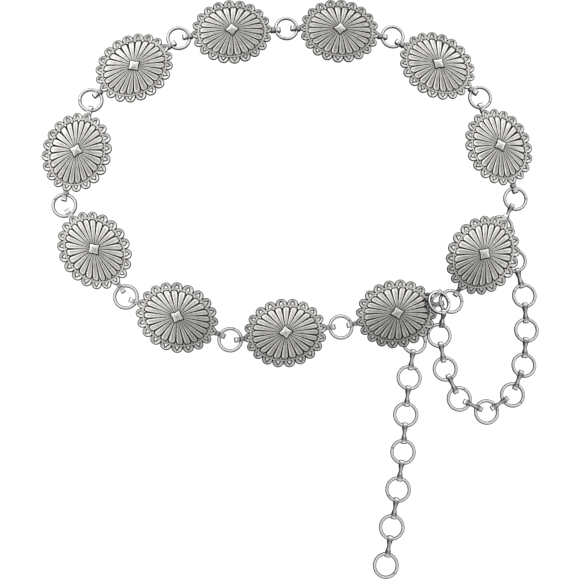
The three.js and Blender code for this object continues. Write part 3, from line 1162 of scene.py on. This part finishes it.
def chain_of(places):
    pieces = []
    for i, place in enumerate(places):
        pieces.append(copy_of(ring, layout @ frame_of(place) @ turn(SEAM_TURN_IN_CHAIN * i)))
    for one, other in zip(places, places[1:]):
        heading = heading_between(one, other)
        pieces.append(lay_link(link, wire_point(one, heading), wire_point(other, heading + 180)))
    return pieces


swag, tail = chain_of(SWAG), chain_of(TAIL)
print("rings and links:", len(swag), "and", len(tail))

# %% [markdown]
# ## The two lengths of chain
# The last ring of the loop is draped over the strip and leans, and the next is tucked under the
# edge of concho_02, so the three links there get their own headings. Each length becomes one
# piece, as in the CAD. The clasp hook stays as it is, since it lies under a concho, and only
# wears the wire's silver.

# %% Swag and tail
swag += [
    copy_of(ring, layout @ frame_of(DRAPED)),
    copy_of(ring, layout @ frame_of(TUCKED)),
    lay_link(link, wire_point(SWAG[-1], 75), wire_point(DRAPED, 290), 0.7),
    lay_link(narrow_link, wire_point(DRAPED, 81), wire_point(TUCKED, 10)),
]
tail.append(lay_link(link, wire_point(TUCKED, 262), wire_point(TAIL[0], 82), 0.2))
swag_chain = join(swag, "swag_chain_links")
tail_chain = join(tail, "tail_chain_links")
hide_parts("swag_chain")
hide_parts("tail_chain")
delete([ring, link, narrow_link])
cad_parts["clasp_hook"].data.materials[0] = wire_silver
print("chains:", len(swag_chain.data.polygons), len(tail_chain.data.polygons), "faces")

# %% [markdown]
# ## Riding
# The belt has no joints, since its rings hang loose in their straps, so every piece rides on the
# one body, root. It could be one joined object, but separate pieces can be hidden, moved and
# dressed on their own.

# %% Riding of all pieces
pieces = (*conchos, *belt_rings, swag_chain, tail_chain)
for piece in pieces:
    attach(piece, "root")
print("pieces on root:", len(pieces))

# %% [markdown]
# ## The table
# The photograph is a cut-out on pure white, so the table shows white to the camera, by a glow
# that only camera rays see. The metal sees the table's own dark grey, or else its undersides
# would be washed out. A white table with enough light would also do, but it would have no black
# to lend to the sides of the wires.

# %% Table
TABLE_DROP = 0.05 * MM
floor = new_piece(bpy.ops.mesh.primitive_plane_add, size=4, location=(0, 0, -TABLE_DROP))
floor.name = "floor"
floor_material = bpy.data.materials.new("white_table")
floor_material.use_nodes = True
floor_tree = floor_material.node_tree
floor_shader = floor_tree.nodes["Principled BSDF"]
floor_shader.inputs["Base Color"].default_value = (0.14, 0.14, 0.14, 1)
floor_shader.inputs["Roughness"].default_value = 0.9
floor_shader.inputs["Emission Color"].default_value = (1, 1, 1, 1)
seen = add_node(floor_tree, "ShaderNodeLightPath").outputs["Is Camera Ray"]
floor_tree.links.new(seen, floor_shader.inputs["Emission Strength"])
floor.data.materials.append(floor_material)
print("table:", [round(size, 1) for size in floor.dimensions], "m")

# %% [markdown]
# ## The sky
# Polished metal has no look of its own: it shows the room. The sky is dark straight overhead
# and near the horizon, and bright between, as in a studio with a wide soft light round a dark
# ceiling. The dark near the horizon draws the thin lines along each wire and petal. A
# photograph of a studio could light it, but a ramp over height needs no image. The sky is
# brighter at the upper left, which tells the flanks of the petals apart.

# %% Sky
SKY_BRIGHTNESS = 1.85
SKY_SIDE = (-0.5, 0.5, 0)
SKY_FOOT, SKY_TOP = 0.02, 0.1  # how bright it is at the horizon and straight up
SKY_RAMP = (  # the heights between, from 0 to 1, and how bright it is there
    (0.22, 0.04),
    (0.38, 0.5),
    (0.52, 0.95),
    (0.66, 0.95),
    (0.8, 0.5),
    (0.93, 0.33),
    (0.98, 0.15),
)


def grey(value):
    return (value, value, value, 1)


world = bpy.data.worlds.new("studio")
bpy.context.scene.world = world
world.use_nodes = True
sky = world.node_tree
direction = add_node(sky, "ShaderNodeTexCoord").outputs["Generated"]
side = add_node(sky, "ShaderNodeVectorMath", operation="DOT_PRODUCT")
side.inputs[1].default_value = SKY_SIDE
sky.links.new(direction, side.inputs[0])
brightness = math_node(sky, "ADD", side.outputs["Value"], SKY_BRIGHTNESS)
split = add_node(sky, "ShaderNodeSeparateXYZ")
sky.links.new(direction, split.inputs[0])
height = add_node(sky, "ShaderNodeValToRGB")
sky.links.new(split.outputs["Z"], height.inputs[0])
elements = height.color_ramp.elements
elements[0].color, elements[1].color = grey(SKY_FOOT), grey(SKY_TOP)
for position, value in SKY_RAMP:
    elements.new(position).color = grey(value)
background = sky.nodes["Background"]
sky.links.new(brightness, background.inputs["Strength"])
sky.links.new(height.outputs[0], background.inputs["Color"])
print("sky ramp:", [round(element.position, 2) for element in elements])

# %% [markdown]
# ## White paper for the camera
# Seen from low down, the camera looks past the table. A larger table would only push its edge
# away, so the sky itself is plain white to the camera, and only the metal sees the ramp.

# %% Paper
paper = add_node(sky, "ShaderNodeBackground", Color=(1, 1, 1, 1))
choice = add_node(sky, "ShaderNodeMixShader")
sees_paper = add_node(sky, "ShaderNodeLightPath").outputs["Is Camera Ray"]
sky.links.new(sees_paper, choice.inputs[0])
sky.links.new(background.outputs[0], choice.inputs[1])
sky.links.new(paper.outputs[0], choice.inputs[2])
sky.links.new(choice.outputs[0], sky.nodes["World Output"].inputs["Surface"])
print("sky nodes:", len(sky.nodes))

# %% [markdown]
# ## The lamp
# A large square box hangs over the belt, a little up and to the left, and lifts the conchos'
# tops out of the sky's dark middle. A small lamp would burn white spots into the metal. An area
# lamp shines straight down as it is made, so it needs no turn.

# %% Lamp
LAMP_PLACE = (-0.06, 0.06, 0.68)
LAMP_SIZE = 0.8
LAMP_WATTS = 0.6
lamp_data = bpy.data.lights.new("overhead_box", "AREA")
lamp_data.shape = "SQUARE"
lamp_data.size = LAMP_SIZE
lamp_data.energy = LAMP_WATTS
lamp = bpy.data.objects.new("overhead_box", lamp_data)
bpy.context.scene.collection.objects.link(lamp)
lamp.location = LAMP_PLACE
print("lamp:", lamp.name, lamp_data.energy, "W")

# %% [markdown]
# ## The camera
# The photograph was taken from almost straight above, from a little to the left and below. The
# distance and the lens fit the places of the rings in the picture to those in the CAD. A camera
# without perspective would be simpler, but in the photograph each concho is seen from its own
# side.

# %% Camera
CAMERA_DISTANCE = 645
CAMERA_LENS = 66.03
CAMERA_BACK = Vector((-0.070, -0.146, 0.987)).normalized()
CAMERA_RIGHT = Vector((0.9975, 0, 0.0708)).normalized()
camera_data = bpy.data.cameras.new("camera")
camera_data.sensor_width = 36
camera_data.lens = CAMERA_LENS
camera = bpy.data.objects.new("camera", camera_data)
bpy.context.scene.collection.objects.link(camera)
up = CAMERA_BACK.cross(CAMERA_RIGHT).normalized()
right = up.cross(CAMERA_BACK)
stand = Matrix.Translation(layout_origin + CAMERA_BACK * CAMERA_DISTANCE * MM)
camera.matrix_world = stand @ Matrix((right, up, CAMERA_BACK)).transposed().to_4x4()
bpy.context.scene.camera = camera
bpy.context.scene.view_settings.view_transform = "Standard"
print("camera at, m:", [round(value, 3) for value in camera.matrix_world.translation])
